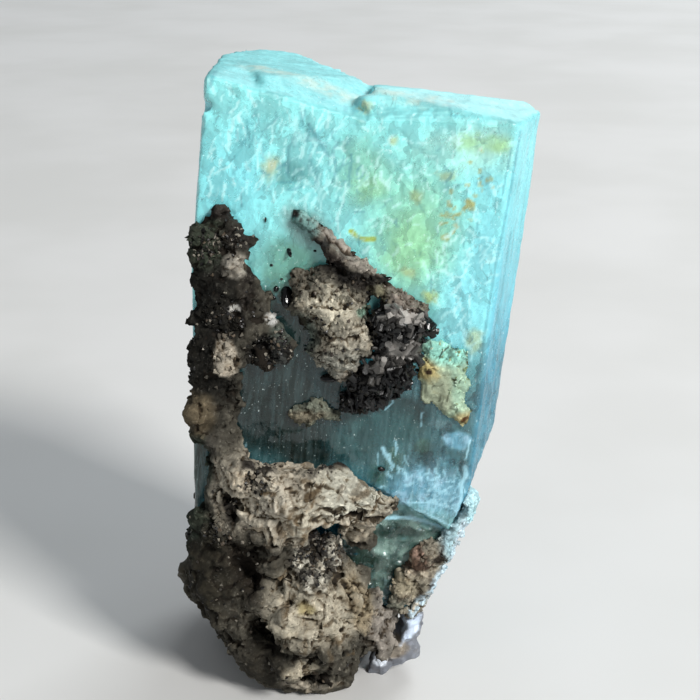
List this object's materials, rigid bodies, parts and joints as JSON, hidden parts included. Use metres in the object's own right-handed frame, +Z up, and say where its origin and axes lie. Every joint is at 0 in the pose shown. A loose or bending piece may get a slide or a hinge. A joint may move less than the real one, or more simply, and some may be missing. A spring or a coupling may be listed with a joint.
{
  "type": "aquamarine crystal on feldspar matrix",
  "caption": "Tall hexagonal aquamarine prism with a worn end face, standing in lumpy cream feldspar matrix with black tourmaline and stained crusts on its front.",
  "frame": {"origin": "middle of the specimen's outline, on the surface it rests on", "axes": "+Z up, -Y out of the crystal's broad front face, +X to the right of that face"},
  "size_m": [0.0429, 0.0354, 0.0747],
  "materials": {
    "aquamarine": "translucent, milky, glassy faces with fine growth lines",
    "feldspar": "matt, lumpy, granular",
    "feldspar_crust": "matt, finely granular",
    "black_tourmaline": "glossy black grains",
    "stained_feldspar": "matt, iron-stained",
    "edge_crust": "granular, white with brown",
    "pale_feldspar": "satin, slightly translucent"
  },
  "bodies": {
    "root": {"aquamarine_crystal": "aquamarine", "feldspar_matrix": "feldspar", "front_crust": "feldspar_crust", "black_tourmaline": "black_tourmaline", "stained_patch": "stained_feldspar", "middle_patch": "feldspar_crust", "right_edge_crust": "edge_crust", "pale_blade": "pale_feldspar"}
  },
  "joints": []
}
